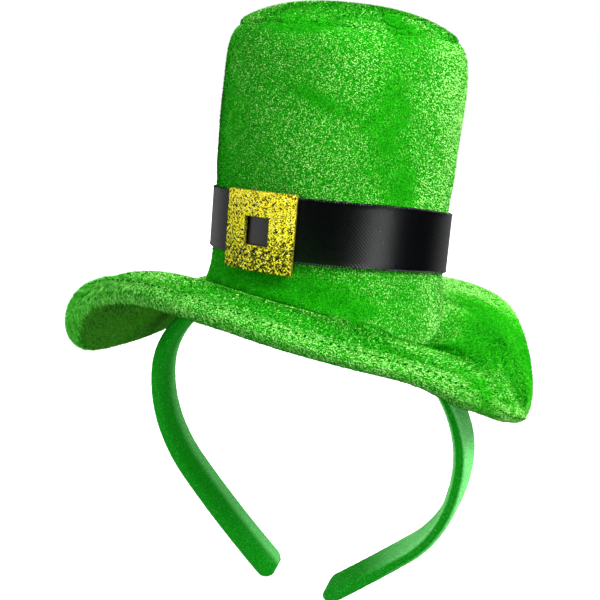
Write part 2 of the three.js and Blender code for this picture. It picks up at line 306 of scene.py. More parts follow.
def waves(seed, scale, count=10):
    """A smooth seeded noise over space, about -1 to 1, whose features are roughly scale across."""
    rng = np.random.default_rng(seed)
    ways = rng.normal(size=(count, 3))
    ways *= (2 * math.pi / scale) * rng.uniform(0.5, 1.5, (count, 1)) / np.linalg.norm(ways, axis=1)[:, None]
    starts = rng.uniform(0, 2 * math.pi, count)

    def value(points):
        return np.sin(points @ ways.T + starts).sum(axis=-1) * math.sqrt(2 / count) * 0.7

    return value


def unit(vectors):
    return vectors / np.maximum(np.linalg.norm(vectors, axis=-1, keepdims=True), 1e-9)


def polar(radius, angle, z):
    """Points at angles in radians from the front towards +X."""
    radius, angle, z = np.broadcast_arrays(radius, angle, z)
    return np.stack([radius * np.sin(angle), -radius * np.cos(angle), z], axis=-1)


def round_angles(count):
    return np.arange(count) * 2 * math.pi / count


def angle_of(points):
    """Angles of points from the front towards +X, in radians."""
    return np.arctan2(points[..., 0], -points[..., 1])


def radius_of(points):
    return np.hypot(points[..., 0], points[..., 1])


def angle_from(angle, degrees):
    """How far angles are from a direction, the short way round, in radians."""
    return np.angle(np.exp(1j * (angle - math.radians(degrees))))


def smooth(low, high, x):
    t = np.clip((x - low) / (high - low), 0, 1)
    return t * t * (3 - 2 * t)


# Meshes from grids of points: rows of rings, each ring closed

def grid_faces(rows, columns, joined):
    """Quads of a grid whose rings are closed; joined also closes the last ring to the first."""
    i = np.arange(rows if joined else rows - 1)[:, None]
    j = np.arange(columns)[None, :]
    following = (i + 1) % rows
    beside = (j + 1) % columns
    corners = (i * columns + j, i * columns + beside, following * columns + beside, following * columns + j)
    return np.stack([np.broadcast_to(c, (len(i), columns)) for c in corners], axis=-1).reshape(-1, 4)


def grid_normals(grid):
    """Unit normals of a grid whose last ring isn't joined to its first, from each point's neighbours."""
    along = np.roll(grid, -1, axis=1) - np.roll(grid, 1, axis=1)
    return unit(np.cross(along, np.gradient(grid, axis=0)))


def mesh_from(name, points, faces):
    """A mesh from arrays of points in millimetres and faces of one size."""
    mesh = bpy.data.meshes.new(name)
    size = faces.shape[1]
    mesh.vertices.add(len(points))
    mesh.vertices.foreach_set("co", (points * MM).astype(np.float32).ravel())
    mesh.loops.add(faces.size)
    mesh.loops.foreach_set("vertex_index", faces.astype(np.int32).ravel())
    mesh.polygons.add(len(faces))
    mesh.polygons.foreach_set("loop_start", (np.arange(len(faces)) * size).astype(np.int32))
    mesh.polygons.foreach_set("loop_total", np.full(len(faces), size, np.int32))
    mesh.update(calc_edges=True)
    return mesh


def new_object(name, data):
    thing = bpy.data.objects.new(name, data)
    bpy.context.scene.collection.objects.link(thing)
    return thing


def place(name, mesh, material, matrix):
    piece = new_object(name, mesh)
    mesh.transform(matrix)
    mesh.materials.append(material)
    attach(piece, "root")
    return piece


def grid_piece(name, grid, joined, material, matrix):
    """A smooth piece from a grid of rings; joined closes the last ring to the first."""
    mesh = mesh_from(name, grid.reshape(-1, 3), grid_faces(*grid.shape[:2], joined))
    mesh.shade_smooth()
    return place(name, mesh, material, matrix)


def close_ends(grid):
    """The grid with its first and last ring drawn together, so that a disc has no hole."""
    ends = [ring.mean(axis=1, keepdims=True) + (ring - ring.mean(axis=1, keepdims=True)) * 0.001
            for ring in (grid[:1], grid[-1:])]
    return np.concatenate([ends[0], grid, ends[1]])


def colour_attribute(mesh, colours):
    """Stores one linear colour for each vertex, as the attribute that the materials read."""
    layer = mesh.color_attributes.new("tint", "FLOAT_COLOR", "POINT")
    four = np.concatenate([colours, np.ones((len(colours), 1))], axis=1)
    layer.data.foreach_set("color", four.astype(np.float32).ravel())


# The brim's bent surface, in the hat's frame

def sink(x, y, depth):
    """The hollow that the crown's foot makes in the brim."""
    radius = np.hypot(x, y)
    towards = np.maximum(np.cos(np.arctan2(x, -y) - math.radians(SINK_SIDE)), 0)
    away = np.maximum(radius - CROWN_RADIUS, 0) / SINK_REACH
    return depth * towards ** SINK_POWER * np.minimum(radius / CROWN_RADIUS, 1) ** 2 * np.exp(-away)


def bend(x, y):
    turn = math.radians(BEND_TURN)
    side = (x * math.cos(turn) + y * math.sin(turn)) / BEND_REACH
    fore = (-x * math.sin(turn) + y * math.cos(turn)) / BEND_REACH
    size = np.abs(side)
    left, right = (depth * size ** power - np.sign(side) * twist * size * fore
                   for depth, power, twist in (LEFT_DROP, RIGHT_DROP))
    lift = np.where(fore < 0, FRONT_LIFT, BACK_LIFT) * fore * fore
    return BRIM_LEVEL + SIDE_SLOPE * side + lift - sink(x, y, SINK_DEPTH) - np.where(side < 0, left, right)


def bend_at(radius, angle):
    flat = polar(radius, angle, 0.0)
    flat[..., 2] = bend(flat[..., 0], flat[..., 1])
    return flat


def bend_normal(points):
    step = 0.5
    x, y = points[..., 0], points[..., 1]
    slope_x = (bend(x + step, y) - bend(x - step, y)) / (2 * step)
    slope_y = (bend(x, y + step) - bend(x, y - step)) / (2 * step)
    return unit(np.stack([-slope_x, -slope_y, np.ones_like(slope_x)], axis=-1))


def cloth_way(angle, rows):
    """Rings from the crown to the hem, equally spaced along the cloth."""
    steps = 6
    length = (BRIM_WIDTH + humps(BRIM_TRIM, angle)) / (rows * steps)
    radius = np.full_like(angle, float(CROWN_RADIUS))
    rings = []
    for k in range(1, rows * steps + 1):
        slope = (bend_at(radius + length, angle)[..., 2] - bend_at(radius, angle)[..., 2]) / length
        radius = radius + length / np.hypot(1, slope)
        if k % steps == 0:
            rings.append(bend_at(radius, angle))
    return np.array(rings)


def humps(places, angle):
    """A sum of smooth humps round the hat, from (angle, spread, height) of each."""
    total = np.zeros_like(angle)
    for turn, spread, height in places:
        away = angle_from(angle, turn) / math.radians(spread)
        total += height * np.exp(-away ** 2)
    return total


def padding(limits, angle):
    share = (1 + np.cos(angle - math.radians(PUFF_SIDE))) / 2
    return limits[0] + (limits[1] - limits[0]) * share


def brim_top(points, lift):
    """Places on the brim's top: lifted by the padding, and squeezed by the crown."""
    squeeze = sink(points[..., 0], points[..., 1], SINK_SQUEEZE)
    return points + bend_normal(points) * (lift - squeeze)[..., None]


def brim_grids(around=240, rows=26):
    """The brim's top, its rolled hem and its underside, each as rings."""
    angle = round_angles(around)
    under_crown = [bend_at(np.full_like(angle, CROWN_RADIUS * s), angle) for s in (0.05, 0.3, 0.6, 0.85, 1)]
    inside = np.array(under_crown)
    outside = cloth_way(angle, rows)
    share = ((np.arange(rows) + 1) / rows)[:, None]
    lift = padding(TOP_PUFF, angle) * np.sin(math.pi * share ** 1.5) + padding(HEM_SWELL, angle) * share
    ripple = waves(SEED, 34)(outside) * BRIM_RIPPLE * np.sin(math.pi * share)
    groove = crease_depth(outside)
    sunk = PILE_ROOM * (1 - share ** 6)
    top = np.concatenate([brim_top(inside, np.full(inside.shape[:2], -PILE_ROOM)),
                          brim_top(outside, lift + ripple + ridge(outside, angle) - groove - sunk)])
    hem = outside[-1]
    normal = bend_normal(hem)
    outward_way = unit(hem - outside[-2])
    swell = padding(HEM_SWELL, angle)[:, None]
    droop = humps(HEM_DROOP, angle)
    half = (BRIM_THICK + swell + droop[:, None]) / 2
    middle = hem + normal * (swell - half)
    turns = math.pi * (np.arange(HEM_ROWS) + 1) / (HEM_ROWS + 1)
    roll = np.array([middle + half * (normal * math.cos(t) + outward_way * math.sin(t)) for t in turns])
    below = np.concatenate([inside, outside])
    depth = np.full(below.shape[:2], float(BRIM_THICK))
    depth[len(inside):] += droop * share ** DROOP_POWER
    under = (below - bend_normal(below) * depth[..., None])[::-1]
    return top, roll, under


def ridge(points, angle):
    """The folds of the brim's top beside the crown."""
    radius = radius_of(points)
    across = np.exp(-((radius - RIDGE_AT) / RIDGE_WIDTH) ** 2)
    return humps(RIDGES, angle) * across * smooth(CROWN_RADIUS + 1, CROWN_RADIUS + 4, radius)


def crease_depth(points):
    """The shallow crease along the left lobe of the brim."""
    angle = np.degrees(angle_of(points))
    start, stop, at, width, depth = LOBE_CREASE
    middle = (start + stop) / 2
    along = np.exp(-((angle - middle) / (stop - middle)) ** 4)
    return depth * along * np.exp(-((radius_of(points) - at) / width) ** 2)


# The crown's wall and top, in the hat's frame

def seam_shift(angle, height):
    share = smooth(SEAM_BLEND, SEAM_HEIGHT, height)
    return -SEAM_SLOPE * share * np.cos(angle - math.radians(SEAM_LOW_SIDE))


def top_shift(height):
    """How far the crown leans over to one side at each height."""
    reach, side = TOP_SHIFT
    return polar(reach * smooth(SEAM_BLEND, SEAM_HEIGHT, height), math.radians(side), 0.0)


def wall_grid(inward, around=240, rows=64):
    """Rings of the crown's wall from its foot to its seam, rounded between the outline's rows."""
    angle = round_angles(around)
    spread = np.full_like(angle, CROWN_RADIUS + CROWN_FLARE - inward)
    foot = brim_top(bend_at(spread, angle), np.zeros_like(angle))[:, 2] + GAP - PILE_ROOM
    radii = [spread, spread]
    heights = [foot, foot + FOOT_HEIGHT]
    for height, inset in CROWN_ROWS:
        radii.append(np.full_like(angle, CROWN_RADIUS - inset - inward))
        heights.append(height + seam_shift(angle, height))
    at = np.linspace(0, len(radii) - 1, rows)
    radius = rounded(np.array(radii), at)
    z = rounded(np.array(heights), at)
    return polar(radius, angle[None], z) + top_shift(z)


def rounded(rows, at):
    """Values between rows, by smooth cubics through them."""
    k = np.clip(at.astype(int), 0, len(rows) - 2)
    t = (at - k)[:, None]
    before, a, b, after = (rows[np.clip(k + n, 0, len(rows) - 1)] for n in (-1, 0, 1, 2))
    slope_a = (b - before) / 2
    slope_b = (after - a) / 2
    return ((2 * t ** 3 - 3 * t ** 2 + 1) * a + (t ** 3 - 2 * t ** 2 + t) * slope_a
            + (3 * t ** 2 - 2 * t ** 3) * b + (t ** 3 - t ** 2) * slope_b)


def top_grid(lift, around=240, rows=44):
    """Rings of the puffed top from its rim to its middle; its edge turns down into the seam."""
    angle = round_angles(around)[None]
    share = np.linspace(1, TOP_MIDDLE, rows)[:, None] ** 0.7
    tuck = np.where(np.arange(rows) == 0, TOP_TUCK, 0)[:, None]
    rim = CROWN_RADIUS - SEAM_INSET
    seam = SEAM_HEIGHT + share * seam_shift(angle, SEAM_HEIGHT) + GAP
    turned = np.clip((share - TOP_EDGE) / (1 - TOP_EDGE), 0, 1)
    edge = lift * np.sqrt(1 - turned ** 2)
    skew, side = TOP_SKEW
    dome = TOP_RISE * (1 - share ** TOP_FULLNESS) * (1 - skew * share * np.cos(angle - math.radians(side)))
    flat = polar(rim * share, angle, 0.0)
    dents = np.zeros(flat.shape[:2])
    for turn, where, width, depth in TOP_DENTS:
        middle = polar(rim * where, math.radians(turn), 0.0)
        dents += depth * np.exp(-((flat - middle) ** 2).sum(axis=-1) / width ** 2)
    return polar(rim * share - tuck, angle, seam + edge + dome - dents - 1.5 * tuck) + top_shift(SEAM_HEIGHT)


# The headband, in the row's frame

def band_line(per_arc=24, per_end=20):
    """Places and turning angles along half of the band, from its top to its tip."""
    x, z, turn = [0.0], [0.0], [0.0]
    for radius, sweep in BAND_ARCS:
        x0, z0, t0 = x[-1], z[-1], turn[-1]
        for k in range(1, per_arc + 1):
            t = t0 + math.radians(sweep) * k / per_arc
            x.append(x0 + radius * (math.sin(t) - math.sin(t0)))
            z.append(z0 + radius * (math.cos(t) - math.cos(t0)))
            turn.append(t)
    x0, z0, t0 = x[-1], z[-1], turn[-1]
    for k in range(1, per_end + 1):
        along = BAND_END * k / per_end
        x.append(x0 + along * math.cos(t0))
        z.append(z0 - along * math.sin(t0))
        turn.append(t0)
    return np.array(x), np.array(z), np.array(turn)


def band_section(per_corner=5):
    """The wrapped strip's outline: across its width, then through its thickness."""
    wide = BAND_WIDTH / 2 - BAND_CORNER
    thick = BAND_THICK / 2 - BAND_CORNER
    points = []
    for k, (side, face) in enumerate(((1, 1), (-1, 1), (-1, -1), (1, -1))):
        for step in range(per_corner + 1):
            turn = math.pi / 2 * (k + step / per_corner)
            across = side * wide + BAND_CORNER * math.cos(turn)
            out = face * thick + BAND_CORNER * math.sin(turn)
            points.append((across, out))
        if k in (0, 2):
            for share in (0.25, 0.5, 0.75):
                points.append((side * wide * (1 - 2 * share), face * (thick + BAND_CORNER)))
    return np.array(points)


def band_grid():
    x, z, turn = band_line()
    tip = np.linspace(0.25, 1, 4)
    x = np.concatenate([x, x[-1] + TIP_LENGTH * tip * math.cos(turn[-1])])
    z = np.concatenate([z, z[-1] - TIP_LENGTH * tip * math.sin(turn[-1])])
    turn = np.concatenate([turn, np.full(4, turn[-1])])
    scale = np.ones_like(x)
    scale[-4:] = 1 - (1 - TIP_SCALE) * tip ** 2
    side = np.concatenate([-np.ones(len(x) - 1), np.ones(len(x))])
    x, z, turn, scale = (np.concatenate([half[:0:-1], half]) for half in (x, z, turn, scale))
    drop = -z / 100
    lean = np.arctan(2 * BAND_SWEEP * drop / 100)
    middle = np.stack([side * x, BAND_SWEEP * drop ** 2, z + BAND_THICK / 2], axis=-1)
    outward = np.stack([side * np.sin(turn), np.zeros_like(x), np.cos(turn)], axis=-1)
    across = np.stack([np.zeros_like(x), np.cos(lean), np.sin(lean)], axis=-1)
    section = band_section()
    wide, thick = section[None, :, :1], section[None, :, 1:]
    depth, start, stop = BAND_SWELL
    swell = (depth * smooth(start, stop, -z))[:, None, None] * (thick > 0)
    rings = across[:, None] * wide + outward[:, None] * (thick + swell)
    return middle[:, None] + scale[:, None, None] * rings


# Pile: short blades rooted all over a surface, leaning the way the nap lies

def scatter(grid, count, rng):
    """Random places spread evenly over a grid, as (points, normals)."""
    quads = grid_faces(*grid.shape[:2], False)
    points = grid.reshape(-1, 3)
    normals = grid_normals(grid).reshape(-1, 3)
    a, b, c, d = (points[quads[:, k]] for k in range(4))
    area = np.linalg.norm(np.cross(c - a, d - b), axis=1) / 2
    pick = rng.choice(len(quads), count, p=area / area.sum())
    u, v = rng.random((2, count, 1))
    weights = ((1 - u) * (1 - v), u * (1 - v), u * v, (1 - u) * v)
    where = sum(w * points[quads[pick, k]] for k, w in enumerate(weights))
    facing = unit(sum(w * normals[quads[pick, k]] for k, w in enumerate(weights)))
    return where, facing


def crush_and_painted_light(points):
    """How much the crush marks, the painted shade and the painted light lighten or darken each place on the
    crown or the brim.
    """
    angle = angle_of(points)
    radius = radius_of(points)
    total = np.zeros(len(points))
    for turn, height, wide, tall, slope, change in CROWN_MARKS:
        along = CROWN_RADIUS * angle_from(angle, turn)
        up = points[:, 2] - height - slope * along
        on_crown = smooth(CROWN_RADIUS + 3, CROWN_RADIUS + 1, radius)
        total += change * on_crown * np.exp(-(along / wide) ** 2 - (up / tall) ** 2)
    for turn, at, wide, deep, change in BRIM_MARKS:
        along = at * angle_from(angle, turn)
        on_brim = smooth(CROWN_RADIUS + 1, CROWN_RADIUS + 3, radius)
        total += change * on_brim * np.exp(-(along / wide) ** 2 - ((radius - at) / deep) ** 2)
    return total


def streaks(points):
    """Soft slanting lines where the pile was brushed, about -1 to 1."""
    radius = radius_of(points)
    arc = radius * angle_of(points)
    up = points[:, 2] - radius
    slant = math.radians(BRUSH_SLANT)
    along = arc * math.cos(slant) + up * math.sin(slant)
    across = up * math.cos(slant) - arc * math.sin(slant)
    return waves(SEED + 9, 3, 24)(np.stack([along / BRUSH_STRETCH, across, 0 * arc], axis=1))


def velvet_tint(points, normals, rng, lighter=0.0, tufts=0.0):
    """Colours of the pile: broad crush patches, smaller ones, brushed lines, the marks with their painted
    shade and light, and each fibre's own shade.
    """
    warp = np.stack([waves(SEED + k, 24)(points) for k in (2, 3, 4)], axis=-1)
    broad = waves(SEED + 1, 38)(points + 8 * warp)
    small = waves(SEED + 5, 6, 16)(points + 2 * warp)
    own = np.tanh(FLECK_CONTRAST * (rng.normal(size=len(points)) + tufts))
    patches = BROAD_PATCHES * broad + SMALL_PATCHES * small + BRUSHED_LINES * streaks(points)
    shade = MID_SHADE + patches + crush_and_painted_light(points) + lighter
    fibres = np.maximum(shade, LEAST_SHADE) * (1 + FLECK * own) + LEAST_FLECK * own
    colours = shaded(fibres, VELVET_DEEP, VELVET_MID, VELVET_PALE)
    # the pile deepens in hue where it is darkened, by crush marks and by painted shade
    colours[:, [0, 2]] *= (DARK_PILE_HUE + (1 - DARK_PILE_HUE) * smooth(*DARK_PILE_SHADES, shade))[:, None]
    return colours


def shaded(shade, *colours):
    """Colours between equally spaced ones, for shades from 0 to 1."""
    at = np.clip(shade, 0, 1)[:, None] * (len(colours) - 1)
    colours = np.array(colours)
    return colours[0] + sum(np.clip(at - k, 0, 1) * step for k, step in enumerate(np.diff(colours, axis=0)))


def hem_tint(points, normals, rng):
    """The hem's pile: tufted and pale on the left lobe, partly painted light, with a painted shadow in its
    crease, and painted shade where it turns under.
    """
    turned = (normals * bend_normal(points)).sum(axis=1)
    angle = angle_of(points)
    lobe = humps(HEM_LOBE, angle)
    pale, vary = HEM_TUFTS
    tufts = lobe * (pale + vary * waves(SEED + 13, 1.4, 24)(points))
    # the painted shadow in the crease
    at, width, depth = CREASE_SHADOW
    crease = depth * humps(HEM_CREASE_SHADOW, angle) * np.exp(-((turned - at) / width) ** 2)
    # the fringe's pale strands, with painted light added
    upper, lower = FRINGE_SHADE
    fringe = lobe * (upper + lower * smooth(0.1, -0.4, turned))
    shadow = HEM_SHADOW * (1 - lobe) * smooth(-0.6, -1, turned)
    colours = velvet_tint(points, normals, rng, fringe - crease - shadow, tufts)
    colours[:, [0, 2]] *= 1 - LOBE_HUE * lobe[:, None]
    return colours


def under_tint(points, normals, rng):
    """The underside's knit: dark, with light flecks."""
    patches = waves(SEED + 8, 14)(points)
    rows = waves(SEED + 14, 1.3, 24)(points)
    shade = UNDER_SHADE + UNDER_PATCHES * patches + UNDER_FLECK * (rows + rng.normal(size=len(points)))
    return shaded(shade, dimmed(LINING_GREEN, 0.4), LINING_GREEN, LINING_FLECK)


def band_tint(points, normals, rng=None):
    """The band's cover: deep green, with painted light on the faces of its right leg and a painted sheen
    along the back of the left.
    """
    away = unit(points * np.array([1, 0, 1]) + np.array([0, 0, BAND_CENTRE]))
    facing = (normals * away).sum(axis=1)
    # painted light on the faces of the right leg
    right = smooth(-10, 10, points[:, 0])
    behind = points[:, 1] - BAND_SWEEP * (points[:, 2] / 100) ** 2
    # a painted sheen along the back edge of the left leg
    strip = smooth(0.3, -0.3, facing) * smooth(1.5, 5, behind)
    # the painted light fades down the right leg
    right = right * (1 - smooth(*LIT_FACE_FADE, points[:, 2]))
    shade = right * smooth(0.05, 0.45, np.abs(facing)) + SHEEN_STRIP * (points[:, 0] < 0) * strip
    if rng is not None:
        shade = shade + BAND_FLECK * rng.normal(size=len(points))
    return shaded(shade, BAND_GREEN, BAND_LIT_PALE)


def blades(points, normals, comb, blade, rng):
    """Triangles of blades that lean from the normal along comb, with their front turned outwards."""
    length, width, lean, stray = blade
    count = len(points)
    comb = comb + stray * rng.normal(size=(count, 3))
    along = unit(comb - normals * (comb * normals).sum(axis=1, keepdims=True))
    angle = np.radians(lean + LEAN_SPREAD * rng.normal(size=(count, 1)))
    way = normals * np.cos(angle) + along * np.sin(angle)
    side = unit(np.cross(way, normals) + BLADE_TWIST * rng.normal(size=(count, 3)))
    mean = length(points) if callable(length) else length
    long = np.reshape(mean, (-1, 1)) * rng.uniform(*BLADE_LENGTHS, (count, 1))
    root = points - normals * ROOT_DEPTH
    triangles = np.stack([root - side * width / 2, root + side * width / 2, root + way * long], axis=1)
    facing = np.cross(triangles[:, 1] - triangles[:, 0], triangles[:, 2] - triangles[:, 0])
    turned = (facing * normals).sum(axis=1) < 0
    triangles[turned] = triangles[turned][:, [1, 0, 2]]
    return triangles


def pile_piece(name, grid, count, comb, blade, tint, material=None, matrix=None):
    """A mesh of blades over a grid, shaded as the soft surface that they make."""
    rng = np.random.default_rng(SEED + len(name))
    points, normals = scatter(grid, count, rng)
    triangles = blades(points, normals, comb(points), blade, rng)
    mesh = mesh_from(name, triangles.reshape(-1, 3), np.arange(count * 3).reshape(-1, 3))
    # each blade gets painted shade at its roots and painted light at its tip
    colours = tint(points, normals, rng)[:, None] * np.array(ROOT_TO_TIP)[None, :, None]
    colour_attribute(mesh, colours.reshape(-1, 3))
    soft = unit(normals + SPARKLE * rng.normal(size=normals.shape))
    mesh.normals_split_custom_set_from_vertices(np.repeat(soft, 3, axis=0))
    return place(name, mesh, material or PILE, matrix or HAT)


# Materials

def dimmed(colour, share):
    return tuple(share * c for c in colour)


def new_material(name):
    material = bpy.data.materials.new(name)
    material.use_nodes = True
    nodes, links = material.node_tree.nodes, material.node_tree.links
    return material, nodes, links, nodes["Principled BSDF"]


def set_inputs(node, values):
    for name, value in values.items():
        node.inputs[name].default_value = value


def ramp(nodes, stops):
    node = nodes.new("ShaderNodeValToRGB")
    elements = node.color_ramp.elements
    for element, (position, colour) in zip(elements, stops):
        element.position = position
        element.color = (*colour, 1)
    return node


def noise(nodes, links, scale, detail, coordinates):
    node = nodes.new("ShaderNodeTexNoise")
    set_inputs(node, {"Scale": scale, "Detail": detail})
    links.new(coordinates, node.inputs["Vector"])
    return node


def remapped(nodes, links, value, limits):
    """A value moved from one range to another, as an output."""
    node = nodes.new("ShaderNodeMapRange")
    set_inputs(node, limits)
    links.new(value, node.inputs["Value"])
    return node.outputs["Result"]


def bump(nodes, links, height, strength, distance, shader):
    node = nodes.new("ShaderNodeBump")
    set_inputs(node, {"Strength": strength, "Distance": distance})
    links.new(height, node.inputs["Height"])
    links.new(node.outputs["Normal"], shader.inputs["Normal"])


def tint_colour(nodes):
    """The colour that each vertex carries."""
    tint = nodes.new("ShaderNodeAttribute")
    tint.attribute_name = "tint"
    return tint.outputs["Color"]


def flecks(nodes, links, scale, detail, stops):
    """A fine noise and the colour that runs between two stops with it, as outputs."""
    coordinates = nodes.new("ShaderNodeTexCoord")
    grain = noise(nodes, links, scale, detail, coordinates.outputs["Object"])
    colours = ramp(nodes, stops)
    links.new(grain.outputs["Fac"], colours.inputs["Fac"])
    return grain.outputs["Fac"], colours.outputs["Color"]


def flecked(name, scale, detail, stops, roughness, specular, relief=None):
    """A material in two colours of fine flecks; relief is the strength and the distance of their bump."""
    material, nodes, links, shader = new_material(name)
    grain, colour = flecks(nodes, links, scale, detail, stops)
    links.new(colour, shader.inputs["Base Color"])
    if relief:
        bump(nodes, links, grain, *relief, shader)
    set_inputs(shader, {"Roughness": roughness, "Specular IOR Level": specular})
    return material


def velvet_ground():
    """The cloth between the fibres: deep green, flecked as finely as the pile."""
    stops = [(0.4, dimmed(VELVET_DEEP, 0.8)), (0.75, CLOTH_GREEN)]
    return flecked("velvet_ground", 2600, 3, stops, 0.9, 0.05, (0.5, 0.0004))


def lining():
    """The brim's plain underside: a flat knit, darker than the pile."""
    stops = [(0.35, dimmed(LINING_GREEN, 0.6)), (0.7, dimmed(LINING_GREEN, 1.5))]
    return flecked("brim_lining", 1800, 3, stops, 0.85, 0.05, (0.5, 0.0003))


def selvedge():
    return flecked("ribbon_selvedge", 1500, 2, [(0.4, SATIN_BLACK), (0.75, SELVEDGE_GREY)], 0.4, 0.5)


def glitter_sheet():
    """The sheet under the flakes: dull gold with dark gaps."""
    stops = [(0.4, GOLD_GAP), (0.75, dimmed(GOLD, 0.5))]
    return flecked("glitter_sheet", 1400, 3, stops, 0.5, 0.2, (0.6, 0.0003))


def stitch_thread():
    stops = [(0.4, STITCH_GREEN), (0.8, dimmed(STITCH_GREEN, 3))]
    return flecked("stitch_thread", 3000, 2, stops, 0.8, 0.05)


def pile_material(name, sheen, sheen_colour):
    """Fibres that carry their own colour and shine softly along their sides."""
    material, nodes, links, shader = new_material(name)
    links.new(tint_colour(nodes), shader.inputs["Base Color"])
    set_inputs(shader, {"Roughness": 0.6, "Specular IOR Level": 0})
    set_inputs(shader, {"Sheen Weight": sheen, "Sheen Roughness": 0.5, "Sheen Tint": (*sheen_colour, 1)})
    return material


def satin():
    """Black satin: a fine slanting twill and soft gloss. Its UV map is in millimetres."""
    material, nodes, links, shader = new_material("black_satin")
    set_inputs(shader, {"Base Color": (*SATIN_BLACK, 1), "Specular IOR Level": 0.3})
    uv = nodes.new("ShaderNodeTexCoord")
    twill = nodes.new("ShaderNodeTexWave")
    twill.bands_direction = "DIAGONAL"
    set_inputs(twill, {"Scale": 0.5, "Distortion": 0.8})
    links.new(uv.outputs["UV"], twill.inputs["Vector"])
    bump(nodes, links, twill.outputs["Fac"], 0.25, 0.0002, shader)
    cloud = noise(nodes, links, 0.4, 3, uv.outputs["UV"])
    rough = remapped(nodes, links, cloud.outputs["Fac"], {"To Min": 0.24, "To Max": 0.34})
    links.new(rough, shader.inputs["Roughness"])
    return material


def glitter_flakes():
    material, nodes, links, shader = new_material("glitter_flakes")
    links.new(tint_colour(nodes), shader.inputs["Base Color"])
    set_inputs(shader, {"Roughness": 0.3, "Specular IOR Level": 0.05})
    return material


def band_cloth():
    """The band's smooth cover under its nap, with a faint knit."""
    material, nodes, links, shader = new_material("band_cloth")
    knit, shading = flecks(nodes, links, 1600, 2, [(0.3, (0.55, 0.55, 0.55)), (0.75, (1, 1, 1))])
    mixed = nodes.new("ShaderNodeMixRGB")
    mixed.blend_type = "MULTIPLY"
    mixed.inputs["Fac"].default_value = 1
    links.new(tint_colour(nodes), mixed.inputs["Color1"])
    links.new(shading, mixed.inputs["Color2"])
    links.new(mixed.outputs["Color"], shader.inputs["Base Color"])
    bump(nodes, links, knit, 0.35, 0.0003, shader)
    set_inputs(shader, {"Roughness": 0.85, "Specular IOR Level": 0.05})
    return material


# Where the hat stands on the band

def hat_matrix():
    seat = Matrix.Translation((0, 0, BAND_THICK / 2 * MM))
    lean = Matrix.Rotation(math.radians(-HAT_LEAN), 4, "Y")
    turn = Matrix.Rotation(math.radians(-HAT_TURN), 4, "Z")
    rise = Matrix.Translation((0, HAT_BACK * MM, HAT_RISE * MM))
    return seat @ lean @ turn @ rise


HAT = hat_matrix()
ROW = Matrix.Identity(4)
GROUND = velvet_ground()
PILE = pile_material("velvet_pile", 0.08, VELVET_SHEEN)


# Sub-parts

def away_way(points):
    """Unit vectors away from the hat's axis."""
    return unit(points * np.array([1, 1, 0]))


def round_way(points):
    """Unit vectors round the hat's axis."""
    return unit(np.stack([-points[:, 1], points[:, 0], 0 * points[:, 0]], axis=1))


def downward(points):
    """A nap brushed down the crown, swept sideways in broad swirls."""
    swirl = waves(SEED + 11, 40)(points)[:, None]
    return np.array([0, 0, -1.0]) + (0.5 + 0.9 * swirl) * round_way(points)


def outward(points):
    """A nap brushed from the middle to the hem, with swirls."""
    swirl = waves(SEED + 12, 36)(points)[:, None]
    return away_way(points) - np.array([0, 0, 0.4]) + 0.8 * swirl * round_way(points)


def round_hem(points):
    """A nap combed round the hem at the front, and over its edge on the left lobe."""
    turn = smooth(-25, 10, np.degrees(angle_of(points)))[:, None]
    at_front = round_way(points) - np.array([0, 0, 0.4])
    return turn * at_front + 0.5 * away_way(points) - (1 - turn) * bend_normal(points)


def strand_length(points):
    """The hem's strands are longer on the left lobe."""
    return HEM_LENGTH + humps(HEM_STRANDS, angle_of(points))


def make_crown():
    outer = wall_grid(PILE_ROOM)
    dents = waves(SEED + 20, 30)(outer)[..., None] * WALL_DENT
    outer = outer + grid_normals(outer) * dents
    rings = np.concatenate([outer, wall_grid(CLOTH)[::-1]])
    wall = grid_piece("crown_side_cloth", rings, True, GROUND, HAT)
    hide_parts("crown_side")
    pile_piece("crown_pile", outer, CROWN_BLADES, downward, CROWN_BLADE, velvet_tint)


def make_top():
    upper = top_grid(CLOTH) - np.array([0, 0, PILE_ROOM / 2])
    lower = top_grid(0) - np.array([0, 0, PILE_ROOM])
    rings = close_ends(np.concatenate([lower[::-1], upper]))
    top = grid_piece("crown_top_cloth", rings, False, GROUND, HAT)
    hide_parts("crown_top")
    pile_piece("top_pile", upper, TOP_BLADES, outward, CROWN_BLADE, velvet_tint)


def make_brim():
    top, roll, under = brim_grids()
    rings = close_ends(np.concatenate([top, roll, under])[::-1])
    brim = grid_piece("brim_pad", rings, False, GROUND, HAT)
    brim.data.materials.append(lining())
    plain = np.zeros((len(rings) - 1, top.shape[1]), np.int32)
    plain[:len(under) + HEM_ROWS // 6] = 1
    brim.data.polygons.foreach_set("material_index", plain.ravel())
    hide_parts("brim")
    turn = HEM_ROWS * 5 // 6  # the row of the hem's roll where the lining starts
    face = np.concatenate([top[4:], roll[:HEM_ROWS // 3]])[::-1]
    pile_piece("brim_pile", face, BRIM_BLADES, outward, BRIM_BLADE, velvet_tint)
    hem = np.concatenate([top[-2:], roll[:turn]])[::-1]
    pile_piece("hem_pile", hem, HEM_BLADES, round_hem, (strand_length, *HEM_BLADE), hem_tint)
    below = np.concatenate([roll[turn - 1:], under[:-8]])[::-1]
    pile_piece("under_pile", below, UNDER_BLADES, outward, UNDER_BLADE, under_tint)
    make_stitches(roll[STITCH_ROW], -grid_normals(roll)[STITCH_ROW])


